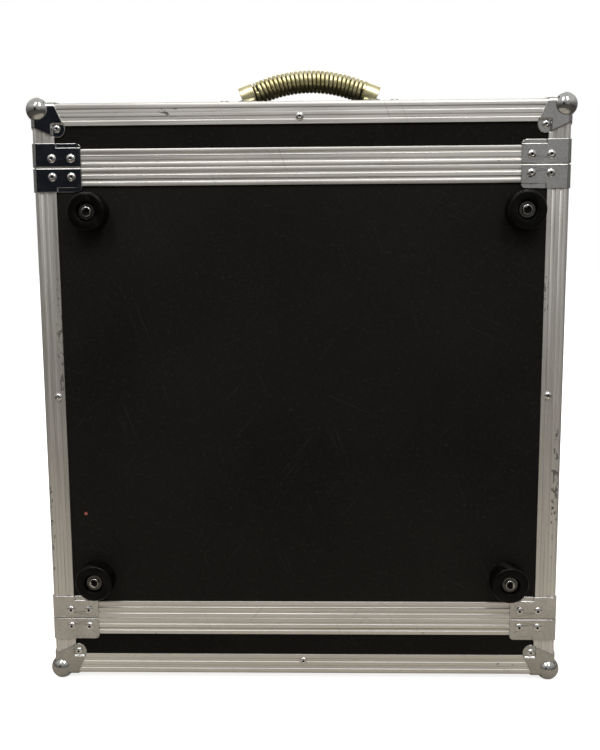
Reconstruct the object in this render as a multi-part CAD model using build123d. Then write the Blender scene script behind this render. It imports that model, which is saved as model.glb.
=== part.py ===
from build123d import *
import math
import os

# Driving sizes of the case, in millimetres
rack_width = 482.6
rack_side_room = 13.5
case_thickness = 155.0
body_length = 468.0
lid_depth = 62.5
panel = 7.0

# Aluminium sections
skin = 1.8
inner_skin = 1.2
slot_clearance = 0.2
angle_leg = 22.0
angle_inner_leg = 20.0
angle_radius = 3.5
cell_wall = 1.4
rim_height = 18.0
rim_head = 5.5
rim_inner_height = 16.0
groove_depth = 0.6
groove_side = 0.5
angle_groove_width = 4.3
angle_groove_shares = (0.357, 0.709)
rim_groove_width = 2.9
rim_groove_shares = (0.33, 0.71)
tongue_width = 2.5
tongue_length = 3.0
tongue_inset = 4.0
tongue_clearance = 0.2
joint_gap = 0.3

# Pressed steel brackets at the rim corners
plate = 1.2
bracket_reach = 48.0
bracket_latch_gap = 3.5
bracket_height = 23.0
bracket_gap = 1.5
bracket_round = 5.0
step_clearance = 0.2
bracket_rivet_near = 19.0
bracket_rivet_pitch = 19.0

# Ball corners
ball_radius = 12.0
ball_inset = 5.8
corner_reach = 23.0
corner_step = 18.6
corner_rivet_inset = 24.8
nose_radius = 8.4

# Rivets
rivet_head = 4.3
small_rivet_head = 3.9
rivet_dome = 1.8
rivet_rim = 0.5
rivet_shoulder_across = 0.72
rivet_shoulder_up = 0.62
rivet_shank = 2.0
rivet_bore = 1.2
hole_clearance = 0.1
edge_rivet_inset = 15.0
edge_rivet_rise = 3.5

# Rubber feet
foot_radius = 19.3
foot_front_radius = 19.0
foot_height = 18.5
foot_insets = {(-1, -1): (47.6, 43.1), (1, -1): (50.9, 41.9), (-1, 1): (54.3, 43.4), (1, 1): (43.5, 44.7)}
foot_rim_round = 2.75
foot_recess = 10.0
foot_recess_depth = 6.0
washer_radius = 8.0
washer_thickness = 1.5
screw_radius = 2.5
screw_head = 5.3
screw_head_height = 2.6
screw_socket = 3.0
screw_socket_depth = 1.8

# Rack rails and their nineteen-inch hole pattern
rail_face = 16.3
rail_sheet = 2.0
rail_depth = 25.0
rail_setback = 58.0
rail_end_gap = 0.4
rack_hole_inset = 8.74
rack_unit = 44.45
rack_units = 3
rack_first_hole = 6.35
rack_hole_step = 15.875
rack_hole_radius = 3.25
rail_bolt_spread = 45.0
rail_bolt_radius = 2.5
rail_bolt_head = 5.0
rail_bolt_head_height = 2.0
rail_nut_radius = 4.5
rail_nut_height = 3.0

# Recessed turn latches, measured from the case side and from the lid joint
latch_half_width = 28.0
latch_flange = 10.0
latch_body_run = 48.0
latch_flange_run = 54.0
latch_lid_run = 24.0
latch_lid_flange_run = 32.0
latch_floor = 15.0
latch_joint_gap = 0.4
latch_centre = 25.0
latch_rivet_inset = 5.6
latch_rivet_head = 3.2
cam_shaft = 4.5
cam_pin = 3.0
cam_foot = 8.0
cam_foot_height = 1.6
cam_head = 12.0
cam_head_height = 2.2
cam_clearance = 0.2
wing_radius = 22.0
wing_sheet = 1.5
wing_grip = 5.5
wing_axis_depth = 2.65
wing_axis_offset = 2.0
wing_barrel = 1.5
wing_barrel_length = 16.0
wing_pin = 1.0
pin_clearance = 0.1
lug_width = 2.0
lug_half_height = 1.5
lug_gap = 0.4
hook_sheet = 1.5
hook_top = 9.9
hook_half_width = 13.0
hook_hinge = 43.0
hook_reach = 10.0
hook_lip = 4.3
hook_tilt = 4.0
hook_hole = 6.0
hook_barrel = 2.2
hook_pin = 1.5
ear_width = 2.0
ear_length = 7.0
ear_gap = 0.6
keeper_height = 3.0
keeper_length = 3.0
keeper_play = 0.5

# Foam pads in the lids
foam = 10.0
foam_gap = 0.3

# Sprung carrying handle
handle_offset = 8.5
handle_height = 42.0
grip_radius = 11.7
grip_bend = 138.0
grip_half_angle = 20.2
grip_straight = 25.0
ferrule_length = 14.5
ferrule_wall = 3.5
spring_wire = 3.5
spring_turns = 26
spring_end_gap = 0.3
core_radius = 8.0
strap_width = 11.0
strap_thickness = 3.0
strap_drop = 2.5
strap_fit = 0.2
cradle_wall = 2.8
cradle_gap = 0.6
cradle_height = 9.5
cradle_run = 15.0
handle_base = 3.0
handle_base_length = 38.0
clamp_height = 8.0
handle_bolt_radius = 2.5
handle_bolt_head = 4.5
handle_bolt_head_height = 2.4
handle_bolt_spread = 8.8

# Places that follow from the sizes above
panel_face = skin
panel_back = skin + panel
inner_face = panel_back + slot_clearance
inner_end = inner_face + inner_skin
case_width = rack_width + 2 * (rack_side_room + inner_end)
half_width = case_width / 2
rail_opening = rack_width - 2 * rail_face
rack_hole_across = rack_width - 2 * rack_hole_inset
bracket_side_reach = case_thickness / 2 - latch_half_width - latch_flange - bracket_latch_gap
strap_room = handle_base_length - cradle_run - 2 * handle_bolt_head - 3 * cradle_gap
strap_tail = strap_room / math.cos(math.radians(grip_half_angle))
ball_out = ball_radius - ball_inset
y_front = (foot_height - panel_face - case_thickness - ball_out) / 2
y_back = y_front + case_thickness
y_mid = y_front + case_thickness / 2
z_low = ball_out
z_rear_joint = z_low + lid_depth
z_front_joint = z_rear_joint + body_length
z_high = z_front_joint + lid_depth
panel_edge = inner_end + slot_clearance
rim_panel_edge = rim_head + slot_clearance
rivet_depth = panel_back - slot_clearance


def block(x0, y0, z0, x1, y1, z1):
    size = Box(x1 - x0, y1 - y0, z1 - z0)
    return Pos((x0 + x1) / 2, (y0 + y1) / 2, (z0 + z1) / 2) * size


def area(x0, y0, x1, y1):
    return Pos((x0 + x1) / 2, (y0 + y1) / 2) * Rectangle(x1 - x0, y1 - y0)


def rod(radius, start, end):
    # A round bar from one point to another
    start = Vector(*start)
    run = Vector(*end) - start
    return extrude(Plane(start, z_dir=run) * Circle(radius), run.length)


def cycle(shape, turns=1):
    # Turns X into Y, Y into Z and Z into X
    return shape.rotate(Axis((0, 0, 0), (1, 1, 1)), 120.0 * turns)


def across(shape):
    # Swaps X and Y, which mirrors a corner piece onto its other face
    return mirror(shape, about=Plane((0, 0, 0), z_dir=(1, -1, 0)))


def together(shapes):
    return Compound(children=[s for shape in shapes for s in shape.solids()])


def place(shape, side_x, side_y, z, side_z):
    # Puts a piece drawn at a corner, with its axes pointing into the case, at one of the corners
    if side_x > 0:
        shape = mirror(shape, about=Plane.YZ)
    if side_y > 0:
        shape = mirror(shape, about=Plane.XZ)
    if side_z > 0:
        shape = mirror(shape, about=Plane.XY)
    y = y_back if side_y > 0 else y_front
    return Pos(side_x * half_width, y, z) * shape


def place_alike(shape, side_x, side_y, z, side_z):
    # The same for a piece that is alike about the diagonal, always by an even number of mirrors
    flips = [side for side in (side_x, side_y, side_z) if side > 0]
    if len(flips) % 2:
        shape = across(shape)
    return place(shape, side_x, side_y, z, side_z)


corners = [(sx, sy) for sx in (-1, 1) for sy in (-1, 1)]


# Rivets: a dome with a small bore and a shank that ends inside the panel
def rivet(head, depth):
    with BuildSketch(Plane.XZ) as half:
        with BuildLine():
            Polyline((head, rivet_rim), (head, 0), (rivet_shank, 0), (rivet_shank, -depth),
                     (0, -depth), (0, rivet_rim), (rivet_bore, rivet_rim))
            rise = Line((rivet_bore, rivet_rim), (rivet_bore, rivet_dome))
            shoulder = (head * rivet_shoulder_across, (rivet_rim + rivet_dome) * rivet_shoulder_up)
            ThreePointArc(rise @ 1, shoulder, (head, rivet_rim))
        make_face()
    return revolve(half.sketch, Axis.Z)


def seat(shape, at, outward):
    # Stands a piece drawn along Z on a face
    return Plane(at, z_dir=outward).location * shape


def rivet_hole(at, outward):
    bore = Cylinder(rivet_shank + hole_clearance, panel_back * 2)
    return seat(Pos(0, 0, -panel_back / 2) * bore, at, outward)


# Edge extrusions: two outer legs, a square cell and two inner legs that hold the panels
def groove(middle, width):
    # One groove of an outer face at X zero, with sloping sides
    wide = width / 2
    narrow = wide - groove_side
    low = [(-1, middle - wide), (0, middle - wide), (groove_depth, middle - narrow)]
    high = [(groove_depth, middle + narrow), (0, middle + wide), (-1, middle + wide)]
    return make_face(Polyline(low + high, close=True))


def angle_section():
    legs = area(0, 0, angle_leg, angle_leg) - area(skin, skin, angle_leg + 1, angle_leg + 1)
    cell = area(0, 0, inner_end, inner_end)
    outline = legs + cell
    corner = outline.vertices().sort_by_distance((0, 0, 0))[0]
    outline = fillet(corner, angle_radius)
    hollow = skin + cell_wall
    outline -= area(hollow, hollow, inner_face, inner_face)
    outline += area(inner_face, inner_face, angle_inner_leg, inner_end)
    outline += area(inner_face, inner_face, inner_end, angle_inner_leg)
    for share in angle_groove_shares:
        cut = groove(angle_leg * share, angle_groove_width)
        outline -= cut
        outline -= across(cut)
    return outline


def mitre_wedge(reach):
    # The space on the far side of a 45 degree plane through the corner, for the X leg
    with BuildSketch(Plane.XZ) as side:
        with BuildLine():
            Polyline((-1, -1), (reach, reach), (reach, -1), close=True)
        make_face()
    return extrude(side.sketch, reach + rim_height, both=True)


def angle_bar(length, start_mitre, end_mitre):
    bar = extrude(angle_section(), length)
    wedge = mitre_wedge(angle_leg + 1)
    wedges = wedge + across(wedge)
    if start_mitre:
        bar -= wedges
    if end_mitre:
        bar -= Pos(0, 0, length) * mirror(wedges, about=Plane.XY)
    return bar


def corner_notch():
    # Room for the lowered nose of the corner plate where two extrusions meet
    depth = skin + step_clearance
    low = corner_step - step_clearance
    size = 2 * corner_rivet_inset
    nose = extrude(offset(corner_plate_region(), step_clearance), depth)
    notch = nose & block(low, low, 0, size, size, depth)
    return together([notch, cycle(notch), cycle(notch, 2)])


# Rim extrusions: a closed head on the panel edge, with a tongue on the lids and a groove on the body
def rim_section(has_tongue):
    start = joint_gap / 2
    section = area(0, start, skin, rim_height)
    section += area(0, start, inner_end, rim_head)
    section += area(inner_face, start, inner_end, rim_inner_height)
    for share in rim_groove_shares:
        section -= groove(rim_height * share, rim_groove_width)
    if has_tongue:
        section += area(tongue_inset, -tongue_length, tongue_inset + tongue_width, rim_head / 2)
    else:
        deep = tongue_length + 2 * tongue_clearance
        low = tongue_inset - tongue_clearance
        high = tongue_inset + tongue_width + tongue_clearance
        section -= area(low, -1, high, deep)
    return section


def rim_bar(length, has_tongue):
    # Along Z, with X into the case and Y away from the joint
    bar = extrude(rim_section(has_tongue), length)
    wedge = mitre_wedge(inner_end + 1)
    bar -= wedge
    bar -= Pos(0, 0, length) * mirror(wedge, about=Plane.XY)
    return bar


def rim(z, side_z, has_tongue, holes):
    # Four mitred bars round the opening, with room for the latch in both side bars
    bar = cycle(rim_bar(case_width, has_tongue))
    side = across(cycle(rim_bar(case_thickness, has_tongue)))
    half_notch = latch_half_width + latch_flange + slot_clearance
    middle = case_thickness / 2
    side -= block(-1, middle - half_notch, -2 * tongue_length, inner_end + 1, middle + half_notch,
                  rim_height + 1)
    square = block(0, 0, 0, angle_radius, angle_radius, rim_height)
    square -= rod(angle_radius, (angle_radius, angle_radius, 0), (angle_radius, angle_radius, rim_height))
    rounds = together([place(square, sx, sy, z, side_z) for sx, sy in corners])
    pieces = []
    for sy in (-1, 1):
        pieces.append(place(bar, -1, sy, z, side_z))
    for sx in (-1, 1):
        pieces.append(place(side, sx, -1, z, side_z))
    return together([piece - rounds - holes for piece in pieces])


# Brackets: one steel angle round each rim corner, stepped down onto the panels beside the extrusion
def bracket_leg(reach):
    top = bracket_gap / 2 + bracket_height
    step = rim_height + step_clearance
    inner = angle_leg + step_clearance
    low = panel_face - plate
    leg = block(0, -plate, bracket_gap / 2, reach, 0, top)
    leg -= block(inner + plate, -plate - 1, step + plate, reach + 1, 1, top + 1)
    leg += block(inner, low, step, reach, panel_face, top)
    leg += block(inner, -plate, step, reach, panel_face, step + plate)
    leg += block(inner, -plate, step, inner + plate, panel_face, top)
    tip = block(reach - bracket_round, -skin * 3, top - bracket_round, reach + 1, skin * 3, top + 1)
    centre = (reach - bracket_round, top - bracket_round)
    tip -= rod(bracket_round, (centre[0], -skin * 4, centre[1]), (centre[0], skin * 4, centre[1]))
    return leg - tip


def bracket():
    whole = bracket_leg(bracket_reach) + across(bracket_leg(bracket_side_reach))
    height = bracket_gap / 2 + bracket_height
    wide = 2 * bracket_reach
    outer = fillet(area(-plate, -plate, wide, wide).vertices().sort_by_distance((-plate, -plate, 0))[0],
                   angle_radius + plate)
    inner = fillet(area(0, 0, wide, wide).vertices().sort_by_distance((0, 0, 0))[0], angle_radius)
    bend = (outer - inner) & area(-plate, -plate, angle_radius + plate, angle_radius + plate)
    bend = Pos(0, 0, bracket_gap / 2) * extrude(bend, bracket_height)
    square = block(-plate - 1, -plate - 1, -1, angle_radius, angle_radius, height + 1)
    return (whole - square) + bend


def bracket_set(z, side_z):
    # The bracket, its rivets and their holes at one rim corner, for each of the four corners
    seats = [(bracket_rivet_near + bracket_rivet_pitch * count, -plate, rim_height / 2) for count in (0, 1)]
    rivets = [seat(rivet(rivet_head, rivet_depth + plate), at, (0, -1, 0)) for at in seats]
    holes = [rivet_hole(at, (0, -1, 0)) for at in seats]
    rivets.append(across(rivets[0]))
    holes.append(across(holes[0]))
    drilled = bracket() - together(holes)
    spots = [(sx, sy, z, side_z) for sx, sy in corners]
    return ([place(drilled, *spot) for spot in spots],
            [place(together(rivets), *spot) for spot in spots],
            [place(together(holes), *spot) for spot in spots])


# Ball corners: a pressed dome with a plate on each of the three faces
def corner_plate_region():
    # Outline of one plate: the corner, two straight sides and a round nose about the rivet
    centre = Vector(corner_rivet_inset, corner_rivet_inset)
    reach = centre - Vector(corner_reach, 0)
    distance = reach.length
    lean = math.atan2(reach.Y, reach.X) - math.asin(nose_radius / distance)
    run = math.sqrt(distance**2 - nose_radius**2)
    touch = (corner_reach + run * math.cos(lean), run * math.sin(lean))
    spread = 2 * angle_radius
    with BuildSketch() as outline:
        with BuildLine():
            Polyline((-spread, -spread), (corner_reach, -spread), (corner_reach, 0), touch,
                     (centre.X, centre.Y), (touch[1], touch[0]), (0, corner_reach), (-spread, corner_reach),
                     close=True)
        make_face()
        with Locations((centre.X, centre.Y)):
            Circle(nose_radius)
    return outline.sketch


def rounded_corner(size, radius, low):
    solid = block(low, low, low, size, size, size)
    corner = Vector(low, low, low)
    edges = [edge for edge in solid.edges() if edge.distance_to(corner) < hole_clearance]
    return fillet(edges, radius)


def ball_corner():
    size = 2 * corner_rivet_inset
    sheet = rounded_corner(size, angle_radius + plate, -plate) - rounded_corner(size, angle_radius, 0.0)
    region = Pos(0, 0, -plate) * extrude(corner_plate_region(), plate)
    bend = block(-plate, -plate, -plate, corner_reach, angle_radius + plate, angle_radius + plate)
    keep = region + bend
    keep = keep + cycle(keep) + cycle(keep, 2)
    pressing = sheet & keep
    step_end = corner_step + plate
    low = panel_face - plate
    for turn in (0, 1, 2):
        nose = extrude(corner_plate_region(), plate) & block(corner_step, corner_step, 0, size, size, plate)
        wall = extrude(corner_plate_region(), plate + panel_face) & block(
            corner_step, corner_step, 0, size, size, plate + panel_face)
        wall -= block(step_end, step_end, -1, size, size, size)
        opening = block(step_end, step_end, -plate - 1, size, size, 0)
        pressing -= cycle(opening, turn)
        pressing += cycle(Pos(0, 0, low) * nose, turn)
        pressing += cycle(Pos(0, 0, -plate) * wall, turn)
    centre = Pos(ball_inset, ball_inset, ball_inset)
    dome = centre * Sphere(ball_radius) - centre * Sphere(ball_radius - plate)
    dome -= block(-plate, -plate, -plate, size, size, size)
    pressing -= centre * Sphere(ball_radius - plate)
    return pressing + dome


def corner_rivet_parts():
    at = (corner_rivet_inset, corner_rivet_inset, panel_face - plate)
    one = seat(rivet(small_rivet_head, rivet_depth - panel_face + plate), at, (0, 0, -1))
    hole = rivet_hole(at, (0, 0, -1))
    return (together([one, cycle(one), cycle(one, 2)]), together([hole, cycle(hole), cycle(hole, 2)]))


# Rivets at mid-length of each extrusion leg
def edge_rivet_points():
    points = []
    middle = (z_rear_joint + z_front_joint) / 2 + edge_rivet_rise
    for sx in (-1, 1):
        for sy in (-1, 1):
            y = y_back if sy > 0 else y_front
            points.append(("body", (sx * (half_width - edge_rivet_inset), y, middle), (0, sy, 0)))
            points.append(("body", (sx * half_width, y - sy * edge_rivet_inset, middle), (sx, 0, 0)))
    for lid, end, side_z in (("rear_lid", z_low, -1), ("front_lid", z_high, 1)):
        inside = end - side_z * edge_rivet_inset
        for side in (-1, 1):
            y = y_back if side > 0 else y_front
            x = side * half_width
            points.append((lid, (0, y, inside), (0, side, 0)))
            points.append((lid, (x, y_mid, inside), (side, 0, 0)))
            points.append((lid, (0, y - side * edge_rivet_inset, end), (0, 0, side_z)))
            points.append((lid, (x - side * edge_rivet_inset, y_mid, end), (0, 0, side_z)))
    return points


def edge_rivets(group):
    spots = [(at, outward) for name, at, outward in edge_rivet_points() if name == group]
    rivets = [seat(rivet(small_rivet_head, rivet_depth), at, outward) for at, outward in spots]
    return rivets, [rivet_hole(at, outward) for at, outward in spots]


# Latch places: the local frame has X out of the case side and Z towards the lid
latches = [(name_x + "_" + name_z, sx, sz) for name_z, sz in (("front", 1), ("rear", -1))
           for name_x, sx in (("left", -1), ("right", 1))]


def place_latch(shape, sx, sz):
    turn = (0 if sz > 0 else 180, 0, 0 if sx > 0 else 180)
    z = z_front_joint if sz > 0 else z_rear_joint
    return Pos(sx * half_width, y_mid, z) * Rot(0, 0, turn[2]) * Rot(turn[0], 0, 0) * shape


def dish(run, flange_run, direction):
    # A pressed tray, open at the joint, with a flange that lies on the panel
    near = latch_joint_gap * direction
    far = run * direction
    low, high = sorted((near, far))
    flange_low, flange_high = sorted((near, flange_run * direction))
    wall_low, wall_high = sorted((near, far + plate * direction))
    half = latch_half_width
    wide = half + latch_flange
    tray = block(-latch_floor - plate, -half - plate, wall_low, plate - panel_face, half + plate, wall_high)
    tray += block(-panel_face, -wide, flange_low, plate - panel_face, wide, flange_high)
    tray -= block(-latch_floor, -half, min(low, near - 1), 1, half, max(high, near + 1))
    return tray


def dish_rivet_points(flange_run, direction):
    y = latch_half_width + latch_flange - latch_rivet_inset
    places = (latch_rivet_inset * direction, (flange_run - latch_rivet_inset) * direction)
    return [(plate - panel_face, side * y, z) for side in (-1, 1) for z in places]


def body_dish():
    tray = dish(latch_body_run, latch_flange_run, -1)
    pivot = (-hook_top - hook_sheet / 2, -hook_hinge)
    near = hook_half_width + ear_gap
    for side in (-1, 1):
        low, high = sorted((side * near, side * (near + ear_width)))
        ear = block(-latch_floor, low, pivot[1] - ear_length / 2, pivot[0] + ear_width, high,
                    pivot[1] + ear_length / 2)
        tray += ear
    reach = near + ear_width + 1
    tray -= rod(hook_pin + pin_clearance, (pivot[0], -reach, pivot[1]), (pivot[0], reach, pivot[1]))
    tray -= rod(cam_pin + pin_clearance, (-latch_floor - plate - 1, 0, -latch_centre),
                (-latch_floor + 1, 0, -latch_centre))
    return tray


def lid_dish():
    tray = dish(latch_lid_run, latch_lid_flange_run, 1)
    end = hook_reach - hook_sheet - keeper_play
    tray += block(-latch_floor, -hook_half_width, end - keeper_length, -latch_floor + keeper_height,
                  hook_half_width, end)
    return tray


def dish_panel_cut(run, direction):
    half = latch_half_width + plate + slot_clearance
    far = (run + plate + slot_clearance) * direction
    low, high = sorted((-2 * rim_height * direction, far))
    return block(-panel_back - 1, -half, low, 1, half, high)


def cam():
    # The turning post: a foot under the hook plate, a shaft, a round head and two pairs of lugs
    floor = -latch_floor + cam_clearance
    top = -wing_axis_depth - wing_barrel - cam_clearance
    post = rod(cam_foot, (floor, 0, 0), (floor + cam_foot_height, 0, 0))
    post += rod(cam_shaft, (floor, 0, 0), (top, 0, 0))
    post += rod(cam_head, (top - cam_head_height, 0, 0), (top, 0, 0))
    back = -latch_floor - plate - cam_clearance
    post += rod(cam_pin, (back, 0, 0), (floor, 0, 0))
    post += rod(cam_shaft, (back - plate, 0, 0), (back, 0, 0))
    near = wing_barrel_length / 2 + lug_gap
    half = wing_axis_offset + lug_half_height
    axis = -wing_axis_depth
    for side in (-1, 1):
        low, high = sorted((side * near, side * (near + lug_width)))
        post += block(top, -half, low, axis + lug_half_height, half, high)
    for side in (-1, 1):
        y = side * wing_axis_offset
        reach = near + lug_width + 1
        post -= rod(wing_pin + pin_clearance, (axis, y, -reach), (axis, y, reach))
    return Pos(0, 0, -latch_centre) * post


def wing(side):
    # One half of the butterfly grip, hinged beside the middle of the head
    axis = -wing_axis_depth
    near = wing_barrel_length / 2
    leaf = rod(wing_radius, (axis - wing_sheet / 2, 0, 0), (axis + wing_sheet / 2, 0, 0))
    leaf &= block(-wing_radius, wing_axis_offset, -wing_radius, 1, wing_radius, wing_radius)
    clear = wing_axis_offset + 2 * lug_half_height
    for end in (-1, 1):
        low, high = sorted((end * near, end * wing_radius))
        leaf -= block(-wing_radius, 0, low, 1, clear, high)
    grip = rod(wing_grip, (axis - wing_sheet, wing_radius, 0), (axis + wing_sheet, wing_radius, 0))
    leaf -= grip
    leaf += rod(wing_barrel, (axis, wing_axis_offset, -near), (axis, wing_axis_offset, near))
    reach = near + lug_gap + lug_width
    leaf += rod(wing_pin, (axis, wing_axis_offset, -reach), (axis, wing_axis_offset, reach))
    if side < 0:
        leaf = mirror(leaf, about=Plane.XZ)
    return Pos(0, 0, -latch_centre) * leaf


def hook():
    # The plate that reaches over the joint, tilted clear of the keeper as when the latch is released
    back = -hook_top - hook_sheet
    blade = block(back, -hook_half_width, -hook_hinge, -hook_top, hook_half_width, hook_reach)
    blade += block(-hook_top - hook_lip, -hook_half_width, hook_reach - hook_sheet, -hook_top,
                   hook_half_width, hook_reach)
    blade -= rod(hook_hole, (back - 1, 0, -latch_centre), (1 - hook_top, 0, -latch_centre))
    x = -hook_top - hook_sheet / 2
    half = hook_half_width
    blade += rod(hook_barrel, (x, -half, -hook_hinge), (x, half, -hook_hinge))
    reach = half + ear_gap + ear_width
    blade += rod(hook_pin, (x, -reach, -hook_hinge), (x, reach, -hook_hinge))
    return blade.rotate(Axis((x, 0, -hook_hinge), (0, 1, 0)), hook_tilt)


def latch_rivets(flange_run, direction):
    points = dish_rivet_points(flange_run, direction)
    depth = rivet_depth - panel_face + plate
    return ([seat(rivet(latch_rivet_head, depth), at, (1, 0, 0)) for at in points],
            [rivet_hole(at, (1, 0, 0)) for at in points])


# Rack rails: angles with the nineteen-inch pattern, seated on the inner legs of the extrusions
def rail_positions():
    return [(name, sx, z, side_z) for name, z, side_z in (("front", z_front_joint - rail_setback, 1),
                                                         ("rear", z_rear_joint + rail_setback, -1))
            for sx in (-1, 1)]


def rack_hole_heights():
    bottom = y_mid - rack_units * rack_unit / 2
    heights = []
    for unit in range(rack_units):
        for step in range(3):
            heights.append(bottom + unit * rack_unit + rack_first_hole + step * rack_hole_step)
    return heights


def rail_bolt_points(z, side_z):
    return [(y_mid + rail_bolt_spread * count, z - side_z * rail_depth / 2) for count in (-1, 0, 1)]


def rail(sx, z, side_z):
    outer = half_width - inner_end
    half = case_thickness / 2 - inner_end - rail_end_gap
    low, high = sorted((z, z - side_z * rail_sheet))
    x0, x1 = sorted((sx * rail_opening / 2, sx * outer))
    piece = block(x0, y_mid - half, low, x1, y_mid + half, high)
    low, high = sorted((z, z - side_z * rail_depth))
    x0, x1 = sorted((sx * (outer - rail_sheet), sx * outer))
    piece += block(x0, y_mid - half, low, x1, y_mid + half, high)
    holes = [rod(rack_hole_radius, (sx * rack_hole_across / 2, y, z - 2 * rail_sheet),
                 (sx * rack_hole_across / 2, y, z + 2 * rail_sheet)) for y in rack_hole_heights()]
    inside = outer - 2 * rail_sheet
    holes += [rod(rail_bolt_radius + hole_clearance, (sx * inside, y, zz), (sx * half_width, y, zz))
              for y, zz in rail_bolt_points(z, side_z)]
    return piece - together(holes)


def rail_bolts():
    bolts = []
    holes = []
    outer = half_width - inner_end
    face = half_width - panel_face
    for name, sx, z, side_z in rail_positions():
        for y, zz in rail_bolt_points(z, side_z):
            inside = outer - rail_sheet
            bolt = rod(rail_bolt_radius, (sx * (inside - rail_nut_height), y, zz), (sx * face, y, zz))
            bolt += rod(rail_bolt_head, (sx * face, y, zz), (sx * (face + rail_bolt_head_height), y, zz))
            bolt += rod(rail_nut_radius, (sx * (inside - rail_nut_height), y, zz), (sx * inside, y, zz))
            bolts.append(bolt)
            holes.append(rod(rail_bolt_radius + hole_clearance, (sx * inside, y, zz),
                             (sx * (half_width + 1), y, zz)))
    return together(bolts), holes


# Rubber feet with a steel washer and a screw in each
def foot_places():
    # X and Z of each foot, from its own insets to the case side and to the end of the body
    places = []
    for (sx, sz), (from_side, from_end) in foot_insets.items():
        z = z_front_joint - from_end if sz > 0 else z_rear_joint + from_end
        places.append((sx * (half_width - from_side), z))
    return places


def foot():
    base = loft([Circle(foot_radius).face(), (Pos(0, 0, foot_height) * Circle(foot_front_radius)).face()])
    rim_edges = base.edges().group_by(Axis.Z)[-1]
    base = fillet(rim_edges, foot_rim_round)
    base -= Pos(0, 0, foot_height) * Cylinder(foot_recess, 2 * foot_recess_depth)
    return base - Cylinder(screw_radius + hole_clearance, 3 * foot_height)


def foot_washer():
    seat_height = foot_height - foot_recess_depth
    ring = Cylinder(washer_radius, washer_thickness) - Cylinder(screw_radius + hole_clearance, foot_height)
    return Pos(0, 0, seat_height + washer_thickness / 2) * ring


def foot_screw():
    seat_height = foot_height - foot_recess_depth + washer_thickness
    head = rod(screw_head, (0, 0, seat_height), (0, 0, seat_height + screw_head_height))
    head = fillet(head.edges().group_by(Axis.Z)[-1], screw_head_height / 2)
    socket = extrude(RegularPolygon(screw_socket, 6), screw_socket_depth)
    head -= Pos(0, 0, seat_height + screw_head_height - screw_socket_depth) * socket
    return head + rod(screw_radius, (0, 0, slot_clearance - panel), (0, 0, seat_height))


def at_feet(shape):
    return [seat(shape, (x, y_front + panel_face, z), (0, -1, 0)) for x, z in foot_places()]


# Plywood panels with black laminate
def long_panel(sy, cutters):
    low, high = sorted((y_front + panel_face, y_front + panel_back))
    wall = block(panel_edge - half_width, low, z_rear_joint + rim_panel_edge, half_width - panel_edge, high,
                 z_front_joint - rim_panel_edge)
    if sy > 0:
        wall = Pos(0, 2 * y_mid, 0) * mirror(wall, about=Plane.XZ)
    return wall - together(cutters)


def side_panel(sx, cutters):
    x0, x1 = sorted((sx * (half_width - panel_back), sx * (half_width - panel_face)))
    wall = block(x0, y_front + panel_edge, z_rear_joint + rim_panel_edge, x1, y_back - panel_edge,
                 z_front_joint - rim_panel_edge)
    for name, side, sz in latches:
        if side == sx:
            wall -= place_latch(dish_panel_cut(latch_body_run, -1), side, sz)
    return wall - together(cutters)


def lid_panel(end, side_z, cutters):
    low, high = sorted((end - side_z * panel_face, end - side_z * panel_back))
    sheet = block(panel_edge - half_width, y_front + panel_edge, low, half_width - panel_edge,
                  y_back - panel_edge, high)
    return sheet - together(cutters)


def lid_walls(end, joint, side_z, cutters):
    low, high = sorted((end - side_z * panel_edge, joint + side_z * rim_panel_edge))
    walls = []
    for sy in (-1, 1):
        y = y_back if sy > 0 else y_front
        y0, y1 = sorted((y - sy * panel_face, y - sy * panel_back))
        walls.append(block(panel_edge - half_width, y0, low, half_width - panel_edge, y1, high))
    for sx in (-1, 1):
        x0, x1 = sorted((sx * (half_width - panel_face), sx * (half_width - panel_back)))
        wall = block(x0, y_front + panel_edge, low, x1, y_back - panel_edge, high)
        walls.append(wall - place_latch(dish_panel_cut(latch_lid_run, 1), sx, side_z))
    return together([wall - together(cutters) for wall in walls])


def lid_foam(end, side_z):
    edge = angle_inner_leg + foam_gap
    low, high = sorted((end - side_z * panel_back, end - side_z * (panel_back + foam)))
    return block(edge - half_width, y_front + edge, low, half_width - edge, y_back - edge, high)


def lid_frame(end, side_z, cutters):
    # Four mitred bars round the end panel and four short bars down to the rim
    long_bar = cycle(angle_bar(case_width, True, True))
    short_bar = cycle(angle_bar(case_thickness, True, True), 2)
    upright = angle_bar(lid_depth - rim_height, True, False)
    notches = together([place(corner_notch(), sx, sy, end, side_z) for sx, sy in corners])
    bars = [place(long_bar, -1, sy, end, side_z) for sy in (-1, 1)]
    bars += [place(short_bar, sx, -1, end, side_z) for sx in (-1, 1)]
    bars += [place(upright, sx, sy, end, side_z) for sx, sy in corners]
    return together([bar - notches - together(cutters) for bar in bars])


def body_uprights(cutters):
    upright = angle_bar(body_length - 2 * rim_height, False, False)
    bars = [place(upright, sx, sy, z_rear_joint + rim_height, -1) for sx, sy in corners]
    return together([bar - together(cutters) for bar in bars])


# Sprung handle: the middle of the grip is an arc, and both ends are straight
grip_half_run = grip_bend * math.radians(grip_half_angle) + grip_straight
grip_middle = Vector(handle_offset, y_mid, z_high + handle_height - grip_radius)


def grip_point(run):
    # The point of the grip's centre line at a distance from its middle, and its direction there
    bend_end = grip_bend * math.radians(grip_half_angle)
    side = math.copysign(1.0, run)
    bent = min(abs(run), bend_end)
    straight = abs(run) - bent
    angle = bent / grip_bend
    x = grip_bend * math.sin(angle) + straight * math.cos(angle)
    drop = grip_bend * (1 - math.cos(angle)) + straight * math.sin(angle)
    point = grip_middle + Vector(side * x, 0, -drop)
    return point, Vector(math.cos(angle), 0, -side * math.sin(angle))


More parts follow.
